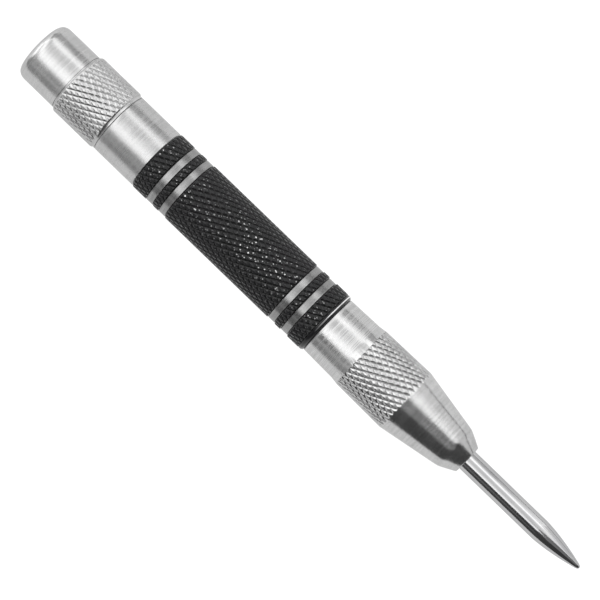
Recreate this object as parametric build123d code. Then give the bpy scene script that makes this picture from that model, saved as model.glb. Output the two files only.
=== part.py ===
"""Automatic centre punch, 130 mm long: an assembly of nineteen separate pieces.

Pressing the needle on the work drives it, the trip pin and the hammer back against the main spring.
The trip pin leans off the axis, so its tail bears on the hammer's face beside the hammer's hole.
At the end of the stroke a cone in the barrel centres the pin, the hole lets it in, and the hammer
flies forward and strikes. Turning the cap changes the main spring's preload.

Units are millimetres. The tool lies along X with its point towards +X, on the plane Z = 0.
The origin is under the middle of the tool. A station is a distance from the tip of the point.
"""

import os
from math import asin, cos, degrees, pi, sin, sqrt

from build123d import *

# --- Driving dimensions: the outside -----------------------------------------------------------
TOOL_LENGTH = 130.0
KNURL_RADIUS = 6.4  # the widest ring, on the nose, which the tool rests on
NEEDLE_RADIUS = 2.0

TIP_CONE_LENGTH = 0.6
TIP_CONE_RADIUS = 0.5
TIP_ROUND = 0.15
OGIVE_MIDDLE = (5.2, 1.47)  # station and radius
OGIVE_END = 9.8

NOSE_FRONT = 26.7
NOSE_FACE_RADIUS = 2.8
NOSE_CREASE = (29.7, 4.25)  # station and radius, as below
NOSE_CREASE_ROUND = 2.5
NOSE_CONE_END = (41.4, 6.36)
NOSE_KNURL_END = (52.1, 6.25)
NOSE_LAND_FRONT = (53.5, 6.05)
NOSE_REAR = 60.3
NOSE_REAR_RADIUS = 5.9

FRONT_BAND = (3.85, 6.28)  # length and radius, as below
FRONT_NARROW_BAND = (1.65, 6.25)
MAIN_GRIP = (25.1, 6.23)
REAR_NARROW_BAND = (1.6, 6.18)
REAR_BAND = (3.5, 6.17)
BRIGHT_RING = (1.4, 6.1)
GRIP_SEAT_RADIUS = 5.2
SLEEVE_CLEARANCE = 0.03

BARREL_RADIUS = 6.07
BARREL_SHOULDER = 110.7  # where the barrel's bright rear land ends under the cap
CAP_FRONT = 110.9
CAP_RIM = (111.4, 6.05)  # rear end and radius of the plain rim in front of the cap's knurl
CAP_STEP = 121.0
CAP_KNURL_RADIUS = 6.3
CAP_RADIUS = 5.9
CAP_END_ROUND = 2.1

# --- Driving dimensions: threads, bores and the moving pieces ----------------------------------
THREAD_RADIUS = 5.0  # M10 x 1, drawn as a plain cylinder
THREAD_CLEARANCE = 0.05
NOSE_SOCKET_FRONT = 50.0
SPIGOT_GAP = 0.1
CAP_SPIGOT_REAR = 120.6
CAP_SOCKET_REAR = 121.4

NEEDLE_BORE_RADIUS = 2.04
CHAMBER_RADIUS = 3.5  # front chamber, for the plunger head and the trip pin's collar
CHAMBER_FRONT = 43.5
CENTRING_CONE = (58.8, 60.2)
CENTRING_BORE_RADIUS = 2.8
WEB_FRONT, WEB_REAR = 65.5, 67.5
WEB_HOLE_RADIUS = 2.3
MAIN_BORE_RADIUS = 4.0

HEAD_RADIUS = 3.4
HEAD_FRONT, HEAD_REAR = 43.55, 49.0
NEEDLE_TAIL = 46.0

BALL_RADIUS = 1.6
CUP_CLEARANCE = 0.05
PIN_PIVOT = 49.1
PIN_COLLAR = (50.7, 54.2)
PIN_COLLAR_RADIUS = 2.7
PIN_STEM_RADIUS = 1.0
PIN_TAIL = 67.5
PIN_LEAN_OFFSET = 1.18  # how far the tail stands below the axis at rest

HAMMER_RADIUS = 3.95
HAMMER_FRONT, HAMMER_SHOULDER = 67.6, 87.6
HAMMER_HOLE_RADIUS = 1.1
HAMMER_HOLE_DEPTH = 6.9  # just under the needle's stroke of 7, so the hammer strikes the pin's tail
SPRING_SPIGOT_RADIUS = 2.45
HAMMER_SPIGOT_LENGTH = 4.0

SEAT_RADIUS = 4.2
SEAT_FRONT, SEAT_REAR = 124.0, 126.0
SEAT_SPIGOT_LENGTH = 3.0
SEAT_GAP = 0.02
CAP_BORE_RADIUS = 4.3

MAIN_WIRE = 1.2
MAIN_MEAN_RADIUS = 3.2
MAIN_TURNS = 14
RETURN_WIRE = 0.4
RETURN_SMALL_RADIUS = 1.6
RETURN_LARGE_RADIUS = 2.5
RETURN_TURNS = 7
RETURN_FRONT = 54.5
SPRING_GAP = 0.05
COIL_STEPS = 12  # points on a turn

EDGE = 0.3  # the usual small chamfer on a turned edge
SLEEVE_EDGE = 0.25
RING_EDGE = 0.05
NEAR = 1e-4


# --- Helpers -----------------------------------------------------------------------------------
def x_of(station):
    """The X coordinate of a station, which is a distance from the tip."""
    return TOOL_LENGTH / 2 - station


def on_axis(shape):
    """The shape, modelled about the X axis, lifted to the tool's own axis."""
    return Pos(0, 0, KNURL_RADIUS) * shape


def turned(*corners):
    """A solid turned about the X axis from the closed half section with these (station, radius)."""
    outline = Polyline(*[(x_of(station), radius) for station, radius in corners], close=True)
    return revolve(make_face(outline), Axis.X, 360)


def rim(solid, station, radius):
    """The circular edge of a turned solid at that station and radius."""
    found = [
        edge
        for edge in solid.edges().filter_by(GeomType.CIRCLE)
        if abs(edge.radius - radius) < NEAR and abs(edge.arc_center.X - x_of(station)) < NEAR
    ]
    if len(found) != 1:
        raise ValueError(f"{len(found)} edges at station {station}, radius {radius}")
    return found


def ring(front, rear, outer, inner, chamfer):
    """A plain turned ring with its outer edges chamfered."""
    return turned(
        (front, inner),
        (front, outer - chamfer),
        (front + chamfer, outer),
        (rear - chamfer, outer),
        (rear, outer - chamfer),
        (rear, inner),
    )


# --- The striking train ------------------------------------------------------------------------
def punch_needle():
    """Hardened 4 mm needle: a long ogive that ends in a short blunt cone."""
    tip = Line((x_of(0), 0), (x_of(TIP_CONE_LENGTH), TIP_CONE_RADIUS))
    ogive = ThreePointArc(
        (x_of(TIP_CONE_LENGTH), TIP_CONE_RADIUS),
        (x_of(OGIVE_MIDDLE[0]), OGIVE_MIDDLE[1]),
        (x_of(OGIVE_END), NEEDLE_RADIUS),
    )
    shank = Polyline(
        (x_of(OGIVE_END), NEEDLE_RADIUS),
        (x_of(NEEDLE_TAIL), NEEDLE_RADIUS),
        (x_of(NEEDLE_TAIL), 0),
        (x_of(0), 0),
    )
    needle = revolve(make_face(tip + ogive + shank), Axis.X, 360)
    return fillet(rim(needle, TIP_CONE_LENGTH, TIP_CONE_RADIUS), TIP_ROUND)


def plunger_head():
    """Steel head pressed on the needle's tail, with a round cup for the trip pin's ball."""
    cup_radius = BALL_RADIUS + CUP_CLEARANCE
    cup_mouth = sqrt(cup_radius**2 - (PIN_PIVOT - HEAD_REAR) ** 2)
    cup_middle = cup_radius / sqrt(2)
    cup = ThreePointArc(
        (x_of(HEAD_REAR), cup_mouth),
        (x_of(PIN_PIVOT - cup_middle), cup_middle),
        (x_of(PIN_PIVOT - cup_radius), 0),
    )
    outside = Polyline(
        (x_of(PIN_PIVOT - cup_radius), 0),
        (x_of(NEEDLE_TAIL), 0),
        (x_of(NEEDLE_TAIL), NEEDLE_RADIUS),
        (x_of(HEAD_FRONT), NEEDLE_RADIUS),
        (x_of(HEAD_FRONT), HEAD_RADIUS - EDGE),
        (x_of(HEAD_FRONT + EDGE), HEAD_RADIUS),
        (x_of(HEAD_REAR - EDGE), HEAD_RADIUS),
        (x_of(HEAD_REAR), HEAD_RADIUS - EDGE),
        (x_of(HEAD_REAR), cup_mouth),
    )
    return revolve(make_face(cup + outside), Axis.X, 360)


def trip_pin():
    """Collared pin that leans off the axis at rest, about its ball in the plunger head."""
    bevel = PIN_COLLAR_RADIUS - 2 * EDGE
    pin = turned(
        (PIN_PIVOT, 0),
        (PIN_PIVOT, BALL_RADIUS),
        (PIN_COLLAR[0], BALL_RADIUS),
        (PIN_COLLAR[0], PIN_COLLAR_RADIUS),
        (PIN_COLLAR[1] - 2 * EDGE, PIN_COLLAR_RADIUS),
        (PIN_COLLAR[1], bevel),
        (PIN_COLLAR[1], PIN_STEM_RADIUS),
        (PIN_TAIL - EDGE, PIN_STEM_RADIUS),
        (PIN_TAIL, PIN_STEM_RADIUS - EDGE),
        (PIN_TAIL, 0),
    )
    pin += Pos(x_of(PIN_PIVOT), 0, 0) * Sphere(BALL_RADIUS)
    lean = degrees(asin(PIN_LEAN_OFFSET / (PIN_TAIL - PIN_PIVOT)))
    pivot = Axis((x_of(PIN_PIVOT), 0, 0), (0, 1, 0))
    return pin.rotate(pivot, -lean)


def hammer():
    """Sliding steel hammer, with the trip pin's hole in front and a spring spigot behind."""
    rear = HAMMER_SHOULDER + HAMMER_SPIGOT_LENGTH
    hole_end = HAMMER_FRONT + HAMMER_HOLE_DEPTH
    return turned(
        (HAMMER_FRONT, HAMMER_HOLE_RADIUS),
        (HAMMER_FRONT, HAMMER_RADIUS - EDGE),
        (HAMMER_FRONT + EDGE, HAMMER_RADIUS),
        (HAMMER_SHOULDER - EDGE, HAMMER_RADIUS),
        (HAMMER_SHOULDER, HAMMER_RADIUS - EDGE),
        (HAMMER_SHOULDER, SPRING_SPIGOT_RADIUS),
        (rear - EDGE, SPRING_SPIGOT_RADIUS),
        (rear, SPRING_SPIGOT_RADIUS - EDGE),
        (rear, 0),
        (hole_end + HAMMER_HOLE_RADIUS / 2, 0),
        (hole_end, HAMMER_HOLE_RADIUS),
    )


# --- Springs -----------------------------------------------------------------------------------
def coil_spring(front, rear, front_radius, rear_radius, wire, turns):
    """A compression spring along X: one closed turn at each end, ground flat, open turns between.

    The radii are the wire's own, and change evenly along the open turns.
    """
    length = rear - front
    open_share = 1 / (turns - 2)

    def place(turn):
        done = min(max((turn - 1) * open_share, 0), 1)
        station = front + done * (length - 2 * wire) + wire * (min(turn, 1) + max(turn + 1 - turns, 0))
        radius = front_radius + done * (rear_radius - front_radius)
        return (x_of(station), radius * sin(2 * pi * turn), radius * cos(2 * pi * turn))

    steps = turns * COIL_STEPS
    path = Spline(*[place(step / COIL_STEPS) for step in range(steps + 1)])
    section = Plane(origin=path @ 0, z_dir=path % 0) * Circle(wire / 2)
    coil = sweep(section, path=path, is_frenet=True)
    widest = max(front_radius, rear_radius) + wire
    return coil & Pos(x_of((front + rear) / 2), 0, 0) * Box(length, 2 * widest, 2 * widest)


def main_spring():
    """The striking spring, between the hammer's shoulder and the spring seat."""
    return coil_spring(
        HAMMER_SHOULDER + SPRING_GAP,
        SEAT_FRONT - SPRING_GAP,
        MAIN_MEAN_RADIUS,
        MAIN_MEAN_RADIUS,
        MAIN_WIRE,
        MAIN_TURNS,
    )


def return_spring():
    """The conical spring that pushes the trip pin and the needle forward."""
    return coil_spring(
        RETURN_FRONT,
        WEB_FRONT - SPRING_GAP,
        RETURN_SMALL_RADIUS,
        RETURN_LARGE_RADIUS,
        RETURN_WIRE,
        RETURN_TURNS,
    )


# --- The housing -------------------------------------------------------------------------------
def nose_cone():
    """Screwed-on nose: cone, knurled ring and plain rear land, with the needle's bore."""
    socket_radius = THREAD_RADIUS + THREAD_CLEARANCE
    knurl_front = NOSE_CONE_END[0] + (KNURL_RADIUS - NOSE_CONE_END[1])
    nose = turned(
        (NOSE_FRONT, NEEDLE_BORE_RADIUS),
        (NOSE_FRONT, NOSE_FACE_RADIUS),
        NOSE_CREASE,
        NOSE_CONE_END,
        (knurl_front, KNURL_RADIUS),
        NOSE_KNURL_END,
        NOSE_LAND_FRONT,
        (NOSE_REAR, NOSE_REAR_RADIUS),
        (NOSE_REAR, socket_radius),
        (NOSE_SOCKET_FRONT, socket_radius),
        (NOSE_SOCKET_FRONT, CHAMBER_RADIUS),
        (CHAMBER_FRONT, CHAMBER_RADIUS),
        (CHAMBER_FRONT, NEEDLE_BORE_RADIUS),
    )
    nose = fillet(rim(nose, *NOSE_CREASE), NOSE_CREASE_ROUND)
    return fillet(rim(nose, NOSE_FRONT, NOSE_FACE_RADIUS), EDGE)


def barrel():
    """Turned steel tube: spigots for the nose and the cap, grip seat, web and centring cone."""
    front = NOSE_SOCKET_FRONT + SPIGOT_GAP
    cone_front, cone_rear = CENTRING_CONE
    return turned(
        (front, CHAMBER_RADIUS),
        (front, THREAD_RADIUS - EDGE),
        (front + EDGE, THREAD_RADIUS),
        (NOSE_REAR, THREAD_RADIUS),
        (NOSE_REAR, GRIP_SEAT_RADIUS),
        (grip_rear(), GRIP_SEAT_RADIUS),
        (grip_rear(), BARREL_RADIUS),
        (BARREL_SHOULDER - EDGE, BARREL_RADIUS),
        (BARREL_SHOULDER, BARREL_RADIUS - EDGE),
        (BARREL_SHOULDER, THREAD_RADIUS),
        (CAP_SPIGOT_REAR - EDGE, THREAD_RADIUS),
        (CAP_SPIGOT_REAR, THREAD_RADIUS - EDGE),
        (CAP_SPIGOT_REAR, MAIN_BORE_RADIUS),
        (WEB_REAR, MAIN_BORE_RADIUS),
        (WEB_REAR, WEB_HOLE_RADIUS),
        (WEB_FRONT, WEB_HOLE_RADIUS),
        (WEB_FRONT, CENTRING_BORE_RADIUS),
        (cone_rear, CENTRING_BORE_RADIUS),
        (cone_front, CHAMBER_RADIUS),
    )


def grip_stack():
    """The sleeves and bright rings on the barrel, as (name, front, rear, radius), front to rear."""
    stack = [
        ("front_band_sleeve", FRONT_BAND),
        ("grip_ring_1", BRIGHT_RING),
        ("front_narrow_sleeve", FRONT_NARROW_BAND),
        ("grip_ring_2", BRIGHT_RING),
        ("main_grip_sleeve", MAIN_GRIP),
        ("grip_ring_3", BRIGHT_RING),
        ("rear_narrow_sleeve", REAR_NARROW_BAND),
        ("grip_ring_4", BRIGHT_RING),
        ("rear_band_sleeve", REAR_BAND),
    ]
    placed, front = [], NOSE_REAR
    for name, (length, radius) in stack:
        placed.append((name, front, front + length, radius))
        front += length
    return placed


def grip_rear():
    """The station where the grip stack meets the barrel's rear land."""
    name, front, rear, radius = grip_stack()[-1]
    return rear


def stacked_piece(name, front, rear, radius):
    """One sleeve or bright ring of the grip stack, an easy fit on the barrel's seat."""
    chamfer = RING_EDGE if name.startswith("grip_ring") else SLEEVE_EDGE
    return ring(front, rear, radius, GRIP_SEAT_RADIUS + SLEEVE_CLEARANCE, chamfer)


# --- The force adjuster ------------------------------------------------------------------------
def spring_seat():
    """Thrust button between the main spring and the cap; it moves along but needn't turn."""
    return turned(
        (SEAT_FRONT - SEAT_SPIGOT_LENGTH, 0),
        (SEAT_FRONT - SEAT_SPIGOT_LENGTH, SPRING_SPIGOT_RADIUS - EDGE),
        (SEAT_FRONT - SEAT_SPIGOT_LENGTH + EDGE, SPRING_SPIGOT_RADIUS),
        (SEAT_FRONT, SPRING_SPIGOT_RADIUS),
        (SEAT_FRONT, SEAT_RADIUS),
        (SEAT_REAR - EDGE, SEAT_RADIUS),
        (SEAT_REAR, SEAT_RADIUS - EDGE),
        (SEAT_REAR, 0),
    )


def adjusting_cap():
    """Screw cap with a plain rim, a knurled skirt and a smooth rounded end; turning it sets the force."""
    socket_radius = THREAD_RADIUS + THREAD_CLEARANCE
    knurl_front = CAP_RIM[0] + (CAP_KNURL_RADIUS - CAP_RIM[1])
    cap = turned(
        (CAP_FRONT, socket_radius),
        (CAP_FRONT, CAP_RIM[1]),
        CAP_RIM,
        (knurl_front, CAP_KNURL_RADIUS),
        (CAP_STEP - EDGE, CAP_KNURL_RADIUS),
        (CAP_STEP, CAP_RADIUS),
        (TOOL_LENGTH, CAP_RADIUS),
        (TOOL_LENGTH, 0),
        (SEAT_REAR + SEAT_GAP, 0),
        (SEAT_REAR + SEAT_GAP, CAP_BORE_RADIUS),
        (CAP_SOCKET_REAR, CAP_BORE_RADIUS),
        (CAP_SOCKET_REAR, socket_radius),
    )
    return fillet(rim(cap, TOOL_LENGTH, CAP_RADIUS), CAP_END_ROUND)


def pieces():
    """Every piece of the tool, by node name."""
    made = {
        "punch_needle": punch_needle(),
        "plunger_head": plunger_head(),
        "trip_pin": trip_pin(),
        "return_spring": return_spring(),
        "hammer": hammer(),
        "main_spring": main_spring(),
        "nose_cone": nose_cone(),
        "barrel": barrel(),
        "spring_seat": spring_seat(),
        "adjusting_cap": adjusting_cap(),
    }
    for name, front, rear, radius in grip_stack():
        made[name] = stacked_piece(name, front, rear, radius)
    return made


def main():
    os.makedirs("parts", exist_ok=True)
    for name, shape in pieces().items():
        export_step(on_axis(shape), f"parts/{name}.step")


main()
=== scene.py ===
"""The looks of an automatic center punch that lies on a white table, seen from nearly straight above.

Every outer piece is turned here from its own outline, with real diamond knurling and a real screw thread.
Lengths are in millimetres until they reach a mesh. A station is a distance from the tip of the point.
"""

import math

import bpy
import numpy as np
from mathutils import Matrix, Vector


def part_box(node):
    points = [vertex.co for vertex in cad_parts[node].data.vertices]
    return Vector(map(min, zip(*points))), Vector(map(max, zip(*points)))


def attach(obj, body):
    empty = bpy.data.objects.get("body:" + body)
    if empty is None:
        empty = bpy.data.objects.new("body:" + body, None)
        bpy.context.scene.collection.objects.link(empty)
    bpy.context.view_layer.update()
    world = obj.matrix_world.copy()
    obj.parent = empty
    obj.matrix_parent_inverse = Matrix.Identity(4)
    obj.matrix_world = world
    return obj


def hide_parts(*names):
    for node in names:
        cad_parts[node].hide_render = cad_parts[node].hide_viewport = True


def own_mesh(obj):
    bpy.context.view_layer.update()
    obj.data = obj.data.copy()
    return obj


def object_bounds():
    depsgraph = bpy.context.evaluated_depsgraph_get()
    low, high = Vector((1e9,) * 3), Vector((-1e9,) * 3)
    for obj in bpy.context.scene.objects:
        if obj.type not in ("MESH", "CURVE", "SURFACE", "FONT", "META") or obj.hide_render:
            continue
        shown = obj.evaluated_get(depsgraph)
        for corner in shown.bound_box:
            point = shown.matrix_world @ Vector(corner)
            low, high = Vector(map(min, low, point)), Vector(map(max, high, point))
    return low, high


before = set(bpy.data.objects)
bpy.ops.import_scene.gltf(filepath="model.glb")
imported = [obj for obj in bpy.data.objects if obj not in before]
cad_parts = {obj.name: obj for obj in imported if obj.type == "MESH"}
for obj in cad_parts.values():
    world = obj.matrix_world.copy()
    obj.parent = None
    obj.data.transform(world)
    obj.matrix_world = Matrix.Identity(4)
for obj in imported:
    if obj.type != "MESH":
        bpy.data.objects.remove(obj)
cad_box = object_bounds()

MM = 0.001
TIP_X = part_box("punch_needle")[1][0]
NOSE_LOW, NOSE_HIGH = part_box("nose_cone")
AXIS_Z = (NOSE_LOW[2] + NOSE_HIGH[2]) / 2
FLOOR_Z = cad_box[0][2]
PICTURE_ROLL = math.radians(43.99)  # how far the tool's axis falls from level in the picture
SHARP_ANGLE = math.radians(34)  # an edge that bends by more than this is shaded sharp
NEEDLE_COLUMNS = 96  # mesh columns round each piece without a knurl
RING_COLUMNS = 192
BARREL_COLUMNS = 240
STACK_BORE = 5.23  # radius of the bore of every sleeve and ring on the barrel's seat

# --- Knurling and threads ----------------------------------------------------------------------
TEETH = 35
KNURL_ANGLE = math.radians(30)
KNURL_RADIUS = 6.3  # radius of the crests that the pitch is worked out for
KNURL_PITCH = 2 * math.pi * KNURL_RADIUS / TEETH / math.tan(KNURL_ANGLE)  # along the tool
KNURL_FLAT = 0.5  # share of a tooth's width that its flat top takes
KNURL_CURVE = 1.2  # 1 gives a tooth straight walls, and more rounds the edges of its top
SECOND_BITE = 0.6  # depth of the knurl's second wheel, against the first
KNURL_DEPTH = 0.22  # full depth, which the nose has
LACQUERED_DEPTH = 0.21  # depth left under the lacquer of the grip
CAP_DEPTH = 0.19  # depth on the cap
KNURL_STEPS = 12  # mesh steps in one tooth, both ways
KNURL_COLUMNS = TEETH * KNURL_STEPS
KNURL_ROW = KNURL_PITCH / KNURL_STEPS
SMOOTH = -1.0  # the depth attribute where nothing is cut
RIM_HIGHLIGHT = -2.0  # the same where a bright line of metal is painted on as a highlight

THREAD_PITCH = 1.0
THREAD_DEPTH = 0.55
THREAD_STEPS = 14  # mesh rows in one pitch
THREAD_ROW = THREAD_PITCH / THREAD_STEPS
THREAD_RADIUS = 5.0
SOCKET_RADIUS = THREAD_RADIUS + 0.05  # of the plain bores that the threads run in


# --- Where things are --------------------------------------------------------------------------
def span(node):
    """The front and rear stations of a CAD node, and its outer radius."""
    low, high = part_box(node)
    return (TIP_X - high[0]) / MM, (TIP_X - low[0]) / MM, (high[1] - low[1]) / 2 / MM


# --- Outlines: rows of (station, radius, crest radius) -------------------------------------------
# The crest is SMOOTH where nothing is cut, or the rim highlight's look where a bright line is painted on.
def plain(*corners, look=SMOOTH):
    """Smooth rows at these (station, radius) corners."""
    return [(station, radius, look) for station, radius in corners]


def rounded(station, radius, bend, start, end, steps=8):
    """Smooth rows round an arc; angles in degrees, 0 towards the rear and 90 outwards."""
    rows = []
    for turn in np.radians(np.linspace(start, end, steps + 1)):
        rows.append((station + bend * math.cos(turn), radius + bend * math.sin(turn), SMOOTH))
    return rows


def even(first, last, row, shape):
    """Smooth rows from one station to another, with the radius given by a formula."""
    stations = np.linspace(first, last, max(2, round((last - first) / row) + 1))
    return [(station, shape(station), SMOOTH) for station in stations]


def cut_rows(corners, crest_front, crest_rear, row):
    """Rows of a knurled or threaded stretch that follows these (station, radius) corners."""
    ends = np.array(corners)
    stations = np.union1d(np.arange(ends[0, 0], ends[-1, 0], row), ends[:, 0])
    radii = np.interp(stations, ends[:, 0], ends[:, 1])
    crests = np.interp(stations, ends[[0, -1], 0], [crest_front, crest_rear])
    return list(zip(stations, radii, crests))


def diamonds(first, deepest=KNURL_DEPTH):
    """How far a diamond knurl that starts at this station lies below its crests."""

    def relief(station, angle):
        along = (station - first) / KNURL_PITCH
        around = angle * TEETH / (2 * math.pi)
        cuts = []
        for phase, bite in ((around + along, 1.0), (around - along, SECOND_BITE)):
            from_middle = np.abs(2 * (phase % 1) - 1)
            wall = np.clip((from_middle - KNURL_FLAT) / (1 - KNURL_FLAT), 0, 1)
            cuts.append(bite * wall**KNURL_CURVE)
        return deepest * np.maximum(*cuts)

    return relief


def screw_thread(station, angle):
    """How far a right-hand thread lies below its crests."""
    steepness, flat = 1.3, 0.1
    phase = (-station / THREAD_PITCH - angle / (2 * math.pi)) % 1
    wall = np.clip(np.abs(2 * phase - 1) * steepness - flat, 0, 1)
    return THREAD_DEPTH * wall


# --- Meshes ------------------------------------------------------------------------------------
def finished(name, points, faces, node, material, body, depth=None):
    """Makes a mesh piece that rides on a body in place of a CAD node."""
    mesh = bpy.data.meshes.new(name)
    mesh.from_pydata(points.tolist(), [], faces)
    mesh.polygons.foreach_set("use_smooth", [True] * len(mesh.polygons))
    mesh.set_sharp_from_angle(angle=SHARP_ANGLE)
    if depth is not None:
        mesh.attributes.new("depth", "FLOAT", "POINT").data.foreach_set("value", depth)
    mesh.materials.append(material)
    piece = bpy.data.objects.new(name, mesh)
    bpy.context.scene.collection.objects.link(piece)
    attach(piece, body)
    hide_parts(node)
    return piece


def turned(node, rows, columns, material, body, relief=None):
    """Turns an outline about the tool's axis. It closes on itself, or on the axis at a radius of 0."""
    station, radius, crest = np.array(rows, float).T
    angle = np.linspace(0, 2 * math.pi, columns, endpoint=False)
    radii = np.repeat(radius[:, None], columns, axis=1)
    if relief is not None:
        cut = crest[:, None] - relief(station[:, None], angle[None, :])
        radii = np.where(crest[:, None] > 0, np.minimum(radii, cut), radii)
    depth = np.where(crest[:, None] > 0, (crest[:, None] - radii) / KNURL_DEPTH, crest[:, None])
    x = np.repeat((TIP_X - station * MM)[:, None], columns, axis=1)
    y = radii * np.sin(angle) * MM
    z = AXIS_Z + radii * np.cos(angle) * MM
    points = np.stack([x, y, z], axis=2)

    first, last = int(radius[0] == 0), int(radius[-1] == 0)
    shown = slice(first, len(rows) - last)
    rings = len(rows) - first - last
    joined = 0 if first or last else 1
    row, column = np.meshgrid(np.arange(rings - 1 + joined), np.arange(columns), indexing="ij")
    beside = (column + 1) % columns
    this_ring, next_ring = row * columns, (row + 1) % rings * columns
    corners = [this_ring + column, this_ring + beside, next_ring + beside, next_ring + column]
    faces = np.stack(corners, axis=2).reshape(-1, 4).tolist()
    vertices = points[shown].reshape(-1, 3)
    depths = depth[shown].ravel()
    for pole, at, ring in ((first, 0, 0), (last, -1, rings - 1)):
        if not pole:
            continue
        middle = len(vertices)
        vertices = np.vstack([vertices, [x[at, 0], 0, AXIS_Z]])
        depths = np.append(depths, SMOOTH)
        for step in range(columns):
            here, there = ring * columns + step, ring * columns + (step + 1) % columns
            faces.append([middle, there, here] if ring == 0 else [here, there, middle])
    return finished(f"{node}_visual", vertices, faces, node, material, body, depths)


def coil(node, front, rear, front_radius, rear_radius, wire, turns, material, body):
    """A compression spring with one closed turn at each end, ground flat, and open turns between."""
    steps, sides = 48, 16  # mesh steps in one turn, and sides of the wire
    turn = np.linspace(0, turns, turns * steps + 1)
    done = np.clip((turn - 1) / (turns - 2), 0, 1)
    closed = np.minimum(turn, 1) + np.maximum(turn + 1 - turns, 0)
    station = front + done * (rear - front - 2 * wire) + wire * closed
    radius = front_radius + done * (rear_radius - front_radius)
    round_turn = 2 * math.pi * turn
    path = np.stack([TIP_X / MM - station, radius * np.sin(round_turn), radius * np.cos(round_turn)], axis=1)
    along = np.gradient(path, axis=0)
    along /= np.linalg.norm(along, axis=1, keepdims=True)
    outward = np.stack([np.zeros_like(turn), np.sin(round_turn), np.cos(round_turn)], axis=1)
    aside = np.cross(along, outward)
    section = np.linspace(0, 2 * math.pi, sides, endpoint=False)[None, :, None]
    around = outward[:, None] * np.cos(section) + aside[:, None] * np.sin(section)
    points = path[:, None] + around * wire / 2
    points[..., 0] = np.clip(points[..., 0], TIP_X / MM - rear, TIP_X / MM - front)
    points = points.reshape(-1, 3) * MM + np.array([0, 0, AXIS_Z])
    rings = len(turn)
    faces = []
    for ring in range(rings - 1):
        for side in range(sides):
            beside = (side + 1) % sides
            here, after = ring * sides, (ring + 1) * sides
            faces.append([here + side, here + beside, after + beside, after + side])
    faces.append(list(range(sides))[::-1])
    faces.append(list(range((rings - 1) * sides, rings * sides)))
    return finished(f"{node}_visual", points, faces, node, material, body)


# --- Materials ---------------------------------------------------------------------------------
def grey(value):
    """A neutral colour."""
    return (value, value, value)


def new_material(name):
    """A new node material, with its node tree and its Principled shader."""
    material = bpy.data.materials.new(name)
    material.use_nodes = True
    return material, material.node_tree, material.node_tree.nodes["Principled BSDF"]


def noise(tree, scale, detail, stretch=(1, 1, 1)):
    """Noise in object space, per metre, stretched along the axes."""
    nodes, links = tree.nodes, tree.links
    where = nodes.new("ShaderNodeTexCoord")
    mapping = nodes.new("ShaderNodeMapping")
    mapping.inputs["Scale"].default_value = stretch
    texture = nodes.new("ShaderNodeTexNoise")
    texture.inputs["Scale"].default_value = scale
    texture.inputs["Detail"].default_value = detail
    links.new(where.outputs["Object"], mapping.inputs["Vector"])
    links.new(mapping.outputs["Vector"], texture.inputs["Vector"])
    return texture.outputs["Fac"]


def remap(tree, value, low, high, to_low, to_high):
    """A value stretched from one range to another and clamped."""
    node = tree.nodes.new("ShaderNodeMapRange")
    node.inputs["From Min"].default_value = low
    node.inputs["From Max"].default_value = high
    node.inputs["To Min"].default_value = to_low
    node.inputs["To Max"].default_value = to_high
    tree.links.new(value, node.inputs["Value"])
    return node.outputs["Result"]


def blend_colours(tree, share, first, second):
    """A mix of two colours by a share; either may be a colour or a socket."""
    node = tree.nodes.new("ShaderNodeMix")
    node.data_type = "RGBA"
    tree.links.new(share, node.inputs["Factor"])
    for socket, colour in ((node.inputs[6], first), (node.inputs[7], second)):
        if isinstance(colour, tuple):
            socket.default_value = (*colour, 1)
        else:
            tree.links.new(colour, socket)
    return node.outputs[2]


def combined(tree, operation, values):
    """Several values put together by one arithmetic operation."""
    result = values[0]
    for value in values[1:]:
        node = tree.nodes.new("ShaderNodeMath")
        node.operation = operation
        tree.links.new(result, node.inputs[0])
        tree.links.new(value, node.inputs[1])
        result = node.outputs[0]
    return result


def total(tree, *values):
    """The sum of several values."""
    return combined(tree, "ADD", values)


def product(tree, *values):
    """The product of several values."""
    return combined(tree, "MULTIPLY", values)


def depth_of(tree):
    """How deep in the knurl a point lies: 0 on a crest, 1 in a groove."""
    node = tree.nodes.new("ShaderNodeAttribute")
    node.attribute_name = "depth"
    return node.outputs["Fac"]


def bump(tree, shader, height, distance, strength):
    """Feeds a height to the shader as bump, its distance in metres."""
    node = tree.nodes.new("ShaderNodeBump")
    node.inputs["Distance"].default_value = distance
    node.inputs["Strength"].default_value = strength
    tree.links.new(height, node.inputs["Height"])
    tree.links.new(node.outputs["Normal"], shader.inputs["Normal"])


def part_way(tree, axis, start, end):
    """How far a point has come from one place to another along an axis, both in millimetres: 0 to 1."""
    nodes, links = tree.nodes, tree.links
    where = nodes.new("ShaderNodeTexCoord")
    split = nodes.new("ShaderNodeSeparateXYZ")
    links.new(where.outputs["Object"], split.inputs["Vector"])
    return remap(tree, split.outputs[axis], start * MM, end * MM, 0, 1)


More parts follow.
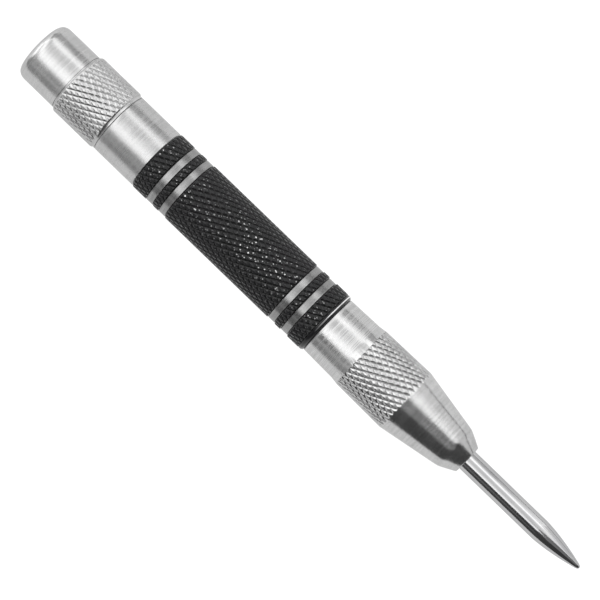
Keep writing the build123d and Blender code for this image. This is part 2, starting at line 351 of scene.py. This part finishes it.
def turned_metal(name, colours, roughness, line_height, grain_height, streaks=None):
    """Bare or plated turned metal: lines round the axis, fine grain, and painted shade that darkens its knurl
    and thread grooves.

    The colours are those of its light and dark patches and of the painted shade in its grooves. Streaks round
    it are given as (front, rear, spread, extra): they fade in between the two stations, darken the light
    colour by up to spread and add up to extra roughness.
    """
    material, tree, shader = new_material(name)
    light, dark, groove = colours
    lines = noise(tree, scale=1000, detail=3, stretch=(2.6, 0.06, 0.06))
    grain = noise(tree, scale=4200, detail=3)
    patches = noise(tree, scale=260, detail=3)
    body = blend_colours(tree, remap(tree, total(tree, lines, patches, grain), 1.2, 1.8, 0, 1), dark, light)
    rough = remap(tree, total(tree, lines, patches), 0.7, 1.3, roughness * 0.8, roughness * 1.2)
    if streaks:
        front, rear, spread, extra = streaks
        behind = part_way(tree, "X", TIP_X / MM - front, TIP_X / MM - rear)
        rings = noise(tree, scale=1000, detail=2, stretch=(3.6, 0.02, 0.02))
        shade = blend_colours(tree, remap(tree, rings, 0.38, 0.62, 0, 1), grey(light[0] - spread), light)
        body = blend_colours(tree, behind, body, shade)
        rough = total(tree, rough, product(tree, behind, remap(tree, rings, 0.42, 0.58, 0, extra)))
    # Painted shade: the deeper a point lies in a knurl or thread groove, the nearer its colour comes to the
    # groove colour.
    colour = blend_colours(tree, remap(tree, depth_of(tree), 0.25, 1.1, 0, 1), body, groove)
    shader.inputs["Specular Tint"].default_value = (*grey(0.8), 1)
    tree.links.new(colour, shader.inputs["Base Color"])
    tree.links.new(rough, shader.inputs["Roughness"])
    tree.links.new(remap(tree, grain, 0.45, 0.65, 1, 0.93), shader.inputs["Metallic"])
    height = total(tree, remap(tree, lines, 0, 1, 0, line_height), remap(tree, grain, 0, 1, 0, grain_height))
    bump(tree, shader, height, distance=0.00001, strength=0.6)
    return material


def satin_nickel():
    """The cap's plating."""
    # light and dark patches, and the painted shade in the knurl grooves
    colours = grey(0.50), grey(0.40), grey(0.36)
    return turned_metal("satin_nickel", colours, roughness=0.25, line_height=0.4, grain_height=0.9)


def turned_nickel():
    """The nose's plating, streaked on the land behind the knurl."""
    return turned_metal(
        "turned_nickel",
        # light and dark patches, and the painted shade in the knurl grooves
        colours=(grey(0.54), grey(0.40), grey(0.27)),
        roughness=0.19,
        line_height=0.3,
        grain_height=1.8,
        streaks=(52.5, 53.5, 0.12, 0.14),
    )


def satin_steel():
    """The barrel's turned steel."""
    # light and dark patches, and the painted shade in the thread's grooves
    colours = grey(0.49), grey(0.38), grey(0.2)
    return turned_metal("satin_steel", colours, roughness=0.28, line_height=0.3, grain_height=1.2)


def ring_steel():
    """The darker steel of the rings in the grip."""
    colours = grey(0.30), grey(0.21), grey(0.2)
    return turned_metal("ring_steel", colours, roughness=0.25, line_height=0.6, grain_height=0.6)


def ground_steel():
    """The hardened parts inside."""
    colours = (0.40, 0.39, 0.38), (0.33, 0.32, 0.31), grey(0.2)
    return turned_metal("ground_steel", colours, roughness=0.3, line_height=0.4, grain_height=0.3)


def spring_wire():
    """Drawn spring steel."""
    colours = (0.34, 0.34, 0.35), (0.26, 0.26, 0.27), grey(0.2)
    return turned_metal("spring_wire", colours, roughness=0.35, line_height=0.1, grain_height=0.4)


def specks(tree, scale, share):
    """Scattered round specks: 1 in their middles, 0 between them; share is how many cells hold one."""
    nodes, links = tree.nodes, tree.links
    cells = nodes.new("ShaderNodeTexVoronoi")
    cells.inputs["Scale"].default_value = scale
    where = nodes.new("ShaderNodeTexCoord")
    links.new(where.outputs["Object"], cells.inputs["Vector"])
    split = nodes.new("ShaderNodeSeparateColor")
    links.new(cells.outputs["Color"], split.inputs["Color"])
    chosen = remap(tree, split.outputs["Red"], 1 - share, 1.02 - share, 0, 1)
    middle = remap(tree, cells.outputs["Distance"], 0.22, 0.42, 1, 0)
    return product(tree, chosen, middle)


def black_lacquer():
    """Gloss black over the knurl, with painted shade in its grooves, metal specks on the crests that stand
    for wear and for painted glints, and a painted highlight of bright metal along the top of the front rim.
    """
    material, tree, shader = new_material("black_lacquer")
    grain = noise(tree, scale=5000, detail=3)
    depth = depth_of(tree)
    # Wear is patchy and uncovers metal specks on the crests. It is strongest in a band along the tool that
    # faces the ceiling lamps, so the specks there stand for painted glints as well as wear.
    lamp_facing_band = product(tree, part_way(tree, "Y", -3.2, -1.2), part_way(tree, "Y", 4.2, 3.0))
    patches = remap(tree, noise(tree, scale=130, detail=1), 0.30, 0.46, 0, 1)
    wear_and_glint_places = product(tree, patches, remap(tree, lamp_facing_band, 0, 1, 0.2, 1))
    crest = product(tree, remap(tree, depth, 0.0, 0.2, 1, 0), remap(tree, depth, -0.3, 0, 0, 1))
    chips_and_glints = product(tree, crest, wear_and_glint_places, specks(tree, scale=2300, share=0.8))
    # A bright metal line along the bead's top, on the upper side only: a painted highlight.
    rim = product(tree, remap(tree, depth, RIM_HIGHLIGHT, RIM_HIGHLIGHT + 0.6, 1, 0), part_way(tree, "Y", -2.5, 1.0))
    wear_glints_and_highlight = total(tree, chips_and_glints, rim)
    # The metal of the crest specks, and the brighter painted highlight along the rim.
    metal_and_highlight_colour = blend_colours(tree, rim, grey(0.52), grey(0.85))
    # Painted shade: the black gets darker towards the bottom of the knurl grooves.
    in_groove = remap(tree, depth, 0.0, 0.7, 0, 1)
    paint = blend_colours(tree, in_groove, (0.012, 0.012, 0.013), grey(0.002))
    colour = blend_colours(tree, wear_glints_and_highlight, paint, metal_and_highlight_colour)
    tree.links.new(colour, shader.inputs["Base Color"])
    tree.links.new(wear_glints_and_highlight, shader.inputs["Metallic"])
    tree.links.new(remap(tree, grain, 0.3, 0.7, 0.16, 0.28), shader.inputs["Roughness"])
    shader.inputs["Specular IOR Level"].default_value = 0.26
    bump(tree, shader, grain, distance=0.00001, strength=0.5)
    return material


def polished_steel():
    """The needle's mirror-polished steel, with faint hairlines and smudges."""
    material, tree, shader = new_material("polished_steel")
    shader.inputs["Metallic"].default_value = 1.0
    hairs = noise(tree, scale=900, detail=3, stretch=(0.5, 6, 6))
    smudges = noise(tree, scale=220, detail=3)
    colour = blend_colours(tree, remap(tree, smudges, 0.3, 0.7, 0, 1), (0.40, 0.40, 0.41), grey(0.46))
    tree.links.new(colour, shader.inputs["Base Color"])
    tree.links.new(remap(tree, smudges, 0.3, 0.7, 0.09, 0.15), shader.inputs["Roughness"])
    shader.inputs["Specular Tint"].default_value = (*grey(0.7), 1)
    bump(tree, shader, hairs, distance=0.000004, strength=0.3)
    return material


# --- The outer pieces --------------------------------------------------------------------------
def make_needle(material):
    """The needle: a blunt round tip, a slender ogive and a parallel shank."""
    rear, radius = span("punch_needle")[1:]
    tip_round, start_radius, fullness = 0.42, 0.36, 1.6
    ogive_front, ogive_rear = 0.55, 9.8
    shank_front, shank_rear, edge = 14, 26, 0.3

    def ogive(station):
        gone = max(1 - station / ogive_rear, 0)
        return start_radius + (radius - start_radius) * (1 - gone**fullness)

    rows = plain((0, 0))
    rows += rounded(tip_round, 0.0, tip_round, 172, 108)
    rows += even(ogive_front, ogive_rear, 0.2, ogive)
    rows += even(shank_front, shank_rear, 6, lambda station: radius)
    rows += plain((rear - edge, radius), (rear, radius - edge), (rear, 0))
    return turned("punch_needle", rows, NEEDLE_COLUMNS, material, "punch")


def make_nose(material):
    """The nose: end facet, cone, knurl, sloping collar and plain land, with its bore and socket."""
    front, rear, knurl_radius = span("nose_cone")
    bore, chamber = 2.04, 3.5
    chamber_front, socket_front = 43.5, 50.0
    crease, cone_end, knurl_front, knurl_rear = (29.7, 4.3), (41.3, 6.37), 41.5, 52.1
    rear_crest, land_front, land_rear, edge = 6.25, (53.5, 6.05), 5.9, 0.15
    face_round, face_radius = 0.35, 2.55
    slope = (cone_end[1] - crease[1]) / (cone_end[0] - crease[0])

    def cone(station):
        return crease[1] + slope * (station - crease[0])

    rows = plain((front + 0.4, bore), (front + 0.08, bore + 0.25), (front, bore + 0.4))
    rows += rounded(front + face_round, face_radius, face_round, 180, 118, 6)
    rows += plain((28.0, 3.45), (28.6, 3.75), (29.1, 4.0), (29.5, 4.19), (29.9, 4.325))  # end facet to cone
    rows += plain((30.4, cone(30.4))) + even(31.5, 40.5, 1.5, cone)
    rows += plain((40.8, cone(40.8)), (41.1, cone(41.1)), cone_end)
    knurl = [(knurl_front, knurl_radius), (knurl_rear, rear_crest)]
    rows += cut_rows(knurl, knurl_radius, rear_crest, KNURL_ROW)
    rows += plain((knurl_rear + 0.05, rear_crest - 0.02))
    rows += plain((land_front[0] - 0.1, land_front[1] + 0.01), land_front)
    rows += plain((rear - edge, land_rear), (rear, land_rear - edge))
    rows += plain((rear, SOCKET_RADIUS), (socket_front, SOCKET_RADIUS), (socket_front, chamber))
    rows += plain((chamber_front, chamber), (chamber_front, bore))
    return turned("nose_cone", rows, KNURL_COLUMNS, material, "housing", diamonds(knurl_front))


def make_barrel(material):
    """The barrel: hidden seat and spigots, the bright rear land, and the thread under the cap."""
    front, rear, radius = span("barrel")
    nose_rear = span("nose_cone")[1]
    land_front = span("rear_band_sleeve")[1]
    seat, bore, chamber, throat, web_hole = 5.2, 4.0, 3.5, 2.8, 2.3
    web_rear, web_front, cone_rear, cone_front = 67.5, 65.5, 60.2, 58.8
    shoulder = span("adjusting_cap")[0] - 0.05
    chamfer, land_edge, shoulder_round = 0.3, 0.16, 0.15
    undercut, thread_end = 4.45, 4.5  # radii of the groove before the thread and of the thread's ends
    rows = plain((front, THREAD_RADIUS - chamfer), (front + chamfer, THREAD_RADIUS))
    rows += plain((nose_rear, THREAD_RADIUS), (nose_rear, seat), (land_front, seat))
    rows += plain((land_front, radius - land_edge), (land_front + land_edge, radius))
    rows += even(land_front + 0.4, shoulder - 0.5, 1.0, lambda station: radius)
    rows += rounded(shoulder - shoulder_round, radius - shoulder_round, shoulder_round, 90, 0, 4)
    rows += plain((shoulder, undercut), (shoulder + 0.5, undercut))
    thread = [
        (shoulder + 0.55, thread_end),
        (shoulder + 1.05, THREAD_RADIUS),
        (rear - 0.5, THREAD_RADIUS),
        (rear, thread_end),
    ]
    rows += cut_rows(thread, THREAD_RADIUS, THREAD_RADIUS, THREAD_ROW)
    rows += plain((rear, bore), (web_rear, bore), (web_rear, web_hole), (web_front, web_hole))
    rows += plain((web_front, throat), (cone_rear, throat), (cone_front, chamber), (front, chamber))
    return turned("barrel", rows, BARREL_COLUMNS, material, "housing", screw_thread)


def make_cap(material):
    """The cap: knurled skirt, smooth land and rounded end, hollow from the front."""
    front, rear, radius = span("adjusting_cap")
    step, land, groove = 121.0, 5.9, 0.14  # where the knurl ends, radius behind it, depth of the groove there
    end_round, squareness, steps = 2.2, 2.8, 24  # the end bends as a superellipse
    rim_rear, rim_radius, knurl_front = front + 0.5, 6.05, front + 0.75
    inner_end, seat_bore, socket_rear = span("spring_seat")[1] + 0.02, 4.3, 121.4
    chamfer, edge = 0.25, 0.05
    rows = plain((inner_end, 0))
    rows += plain((inner_end, seat_bore), (socket_rear, seat_bore), (socket_rear, SOCKET_RADIUS))
    rows += plain((front + chamfer, SOCKET_RADIUS), (front, SOCKET_RADIUS + chamfer))
    rows += plain((front, rim_radius - edge), (front + edge, rim_radius), (rim_rear, rim_radius))
    knurl = [
        (rim_rear + 0.05, rim_radius + 0.03),
        (knurl_front, radius),
        (step - 0.4, radius),
        (step, land + 0.05),
    ]
    rows += cut_rows(knurl, radius, radius, KNURL_ROW)
    rows += plain((step + 0.02, land - groove), (step + 0.2, land - groove), (step + 0.26, land))
    rows += even(step + 1, rear - end_round - 0.4, 1.2, lambda station: land)
    for turn in np.radians(np.linspace(0, 90, steps + 1)):
        out, back = math.cos(turn) ** (2 / squareness), math.sin(turn) ** (2 / squareness)
        rows.append((rear - end_round * (1 - back), land - end_round * (1 - out), SMOOTH))
    rows += plain((rear, 2.0), (rear, 0))  # the flat end, in two rings
    return turned("adjusting_cap", rows, KNURL_COLUMNS, material, "cap", diamonds(rim_rear, CAP_DEPTH))


def make_sleeve(node, material, bead=0.0):
    """A black knurled sleeve. A bead is the length of a smooth round rim at its front, with a bright line
    painted along its top as a highlight.
    """
    front, rear, radius = span(node)
    edge = 0.25
    corners = [
        (front + 0.01, radius - edge),
        (front + edge, radius),
        (rear - edge, radius),
        (rear - 0.01, radius - edge),
    ]
    if bead:
        bend = 0.8 * bead
        rows = plain((front, STACK_BORE), (front, radius - bend))
        rows += rounded(front + bend, radius - bend, bend, 175, 130, 8)
        # The bead's top rows, where the bright line of the painted highlight goes.
        rows += plain((front + 0.52 * bead, radius - 0.05), look=RIM_HIGHLIGHT)
        rows += plain((front + 0.62 * bead, radius - 0.03), look=RIM_HIGHLIGHT)
        rows += plain((front + 0.72 * bead, radius - 0.02), (front + bead, radius - 0.02))
        corners[0] = (front + bead + 0.05, radius - 0.15)
        corners[1] = (front + bead + 0.2, radius)
    else:
        rows = plain((front, STACK_BORE), (front, radius - edge - 0.05))
    rows += cut_rows(corners, radius, radius, KNURL_ROW)
    rows += plain((rear, radius - edge - 0.05), (rear, STACK_BORE))
    return turned(node, rows, KNURL_COLUMNS, material, "housing", diamonds(front, LACQUERED_DEPTH))


def make_ring(node, material):
    """A bright ring with slightly broken edges."""
    front, rear, radius = span(node)
    edge = 0.06
    rows = plain((front, STACK_BORE), (front, radius - edge), (front + edge, radius))
    rows += plain((rear - edge, radius), (rear, radius - edge), (rear, STACK_BORE))
    return turned(node, rows, RING_COLUMNS, material, "housing")


# --- The inner pieces --------------------------------------------------------------------------
def make_spring(node, front_radius, wire, turns, material):
    """A spring from its front to its fixed rear end, where it's widest."""
    front, rear, outside = span(node)
    spring = coil(node, front, rear, front_radius, outside - wire / 2, wire, turns, material, "housing")
    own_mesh(spring)


def dress(material, *nodes):
    """Gives CAD nodes that stay as they are their material."""
    for node in nodes:
        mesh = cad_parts[node].data
        mesh.materials.clear()
        mesh.materials.append(material)


# --- Stage: floor, lights and camera -----------------------------------------------------------
def make_floor():
    """A white table top that glows a little, as a light table does."""
    material, tree, shader = new_material("table_white")
    shader.inputs["Base Color"].default_value = (*grey(0.12), 1)
    shader.inputs["Roughness"].default_value = 0.7
    shader.inputs["Specular IOR Level"].default_value = 0.2
    shader.inputs["Emission Color"].default_value = (*grey(1), 1)
    shader.inputs["Emission Strength"].default_value = 0.97
    reach = 3.0  # metres from the middle to each side
    corners = [(-reach, -reach), (reach, -reach), (reach, reach), (-reach, reach)]
    mesh = bpy.data.meshes.new("table")
    mesh.from_pydata([(*corner, FLOOR_Z) for corner in corners], [], [(0, 1, 2, 3)])
    mesh.materials.append(material)
    table = bpy.data.objects.new("table", mesh)
    bpy.context.scene.collection.objects.link(table)


def in_picture(right, up, height):
    """A place or direction given along the picture's right and up, and its height over the floor."""
    x = right * math.cos(PICTURE_ROLL) - up * math.sin(PICTURE_ROLL)
    y = right * math.sin(PICTURE_ROLL) + up * math.cos(PICTURE_ROLL)
    return Vector((x, y, height))


def make_panel(name, place, shines, width, length, radiance):
    """A soft panel at a place, shining one way; both are given in the picture's axes."""
    backwards = -in_picture(*shines).normalized()
    along = in_picture(0, 1, 0) if abs(backwards.z) > 0.99 else Vector((0, 0, 1))
    across = along.cross(backwards).normalized()
    data = bpy.data.lights.new(name, "AREA")
    data.shape = "RECTANGLE"
    data.size, data.size_y = width, length
    data.energy = radiance * math.pi * width * length
    panel = bpy.data.objects.new(name, data)
    turn = Matrix((across, backwards.cross(across), backwards)).transposed()
    panel.matrix_world = Matrix.Translation(in_picture(*place)) @ turn.to_4x4()
    panel.visible_camera = False
    bpy.context.scene.collection.objects.link(panel)


def make_lights():
    """A soft ceiling of strips of different brightness, pale walls on three sides, and nothing in front."""
    world = bpy.data.worlds.new("studio")
    world.use_nodes = True
    world.node_tree.nodes["Background"].inputs["Color"].default_value = (*grey(0.08), 1)
    bpy.context.scene.world = world
    ceiling = 1.0
    strips = (  # left and right edges, front and back ends, radiance
        (-1.90, -0.70, 0.30, 1.90, 1.7),
        (-1.20, -0.70, -0.60, 0.30, 0.62),
        (-1.90, -1.00, -1.26, -0.60, 0.36),
        (-1.90, -1.00, -1.60, -1.26, 0.06),
        (-1.00, -0.75, -1.20, -0.60, 0.12),
        (-0.70, -0.60, -0.45, 1.90, 1.1),
        (-0.60, -0.50, -0.42, 1.90, 1.8),
        (-0.50, -0.34, -0.42, 1.90, 2.4),
        (-0.34, -0.14, -0.42, 1.90, 2.2),
        (-0.14, 0.02, -0.42, 1.90, 1.5),
        (0.02, 0.34, -0.12, 1.90, 1.1),
        (0.34, 0.46, -0.12, 1.90, 1.4),
        (0.46, 0.70, -0.12, 0.30, 1.6),
        (0.46, 0.70, 0.30, 1.90, 2.4),
        (0.70, 0.92, -0.12, 1.90, 1.6),
        (0.92, 1.17, -0.12, 1.90, 1.1),
        (-0.10, 0.60, -0.68, -0.43, 0.26),
        (0.02, 0.60, -0.43, -0.12, 0.23),
    )
    for number, (left, right, front, back, radiance) in enumerate(strips):
        middle = ((left + right) / 2, (front + back) / 2, ceiling)
        make_panel(f"ceiling_{number}", middle, (0, 0, -1), right - left, back - front, radiance)
    walls = (  # name, place, the way it shines, width, height and radiance
        ("right_wall", (1.9, 0.5, 0.92), (-1, -0.3, 0), 2.0, 1.5, 1.0),
        ("right_corner", (1.9, 1.95, 0.92), (-1, -0.3, 0), 0.9, 1.5, 0.6),
        ("back_wall", (0.9, 2.4, 0.92), (0, -1, 0), 2.0, 1.5, 0.5),
        ("left_back_wall", (-1.1, 2.4, 0.85), (0, -1, 0), 2.0, 1.65, 1.4),
        ("left_corner", (-1.9, 1.35, 0.85), (1, 0, 0), 2.1, 1.65, 1.4),
        ("left_wall", (-1.9, -0.74, 0.85), (1, 0.1, 0), 2.08, 1.5, 0.36),
    )
    for wall in walls:
        make_panel(*wall)


def make_camera():
    """The photographer's view: nearly straight down, tilted slightly, with the tool on a diagonal."""
    tilt = math.radians(3.3)
    distance, field = 0.517, 0.104  # metres to the target, and across the picture there
    aim, offset = 66.7, -0.2  # the target's station, and how far it's off the axis
    target = Vector((TIP_X - aim * MM, offset * MM, AXIS_Z))
    back = Vector((math.sin(tilt), 0, math.cos(tilt)))
    along = Vector((math.cos(tilt), 0, -math.sin(tilt)))
    across = Vector((0, 1, 0))
    right = along * math.cos(PICTURE_ROLL) + across * math.sin(PICTURE_ROLL)
    up = across * math.cos(PICTURE_ROLL) - along * math.sin(PICTURE_ROLL)
    data = bpy.data.cameras.new("camera")
    data.lens = data.sensor_width / 2 / (field / 2 / distance)
    camera = bpy.data.objects.new("camera", data)
    turn = Matrix((right, up, back)).transposed().to_4x4()
    camera.matrix_world = Matrix.Translation(target + back * distance) @ turn
    bpy.context.scene.collection.objects.link(camera)
    bpy.context.scene.camera = camera
    bpy.context.scene.view_settings.view_transform = "Standard"


def make_tool():
    """Every piece of the tool with its material."""
    make_needle(polished_steel())
    make_nose(turned_nickel())
    make_barrel(satin_steel())
    make_cap(satin_nickel())
    black, ring, wire = black_lacquer(), ring_steel(), spring_wire()
    make_sleeve("front_band_sleeve", black, bead=0.9)
    for node in ("front_narrow_sleeve", "main_grip_sleeve", "rear_narrow_sleeve", "rear_band_sleeve"):
        make_sleeve(node, black)
    for number in range(1, 5):
        make_ring(f"grip_ring_{number}", ring)
    make_spring("main_spring", front_radius=3.2, wire=1.2, turns=14, material=wire)
    make_spring("return_spring", front_radius=1.6, wire=0.4, turns=7, material=wire)
    dress(ground_steel(), "hammer", "trip_pin", "plunger_head", "spring_seat")


make_camera()
make_lights()
make_floor()
make_tool()
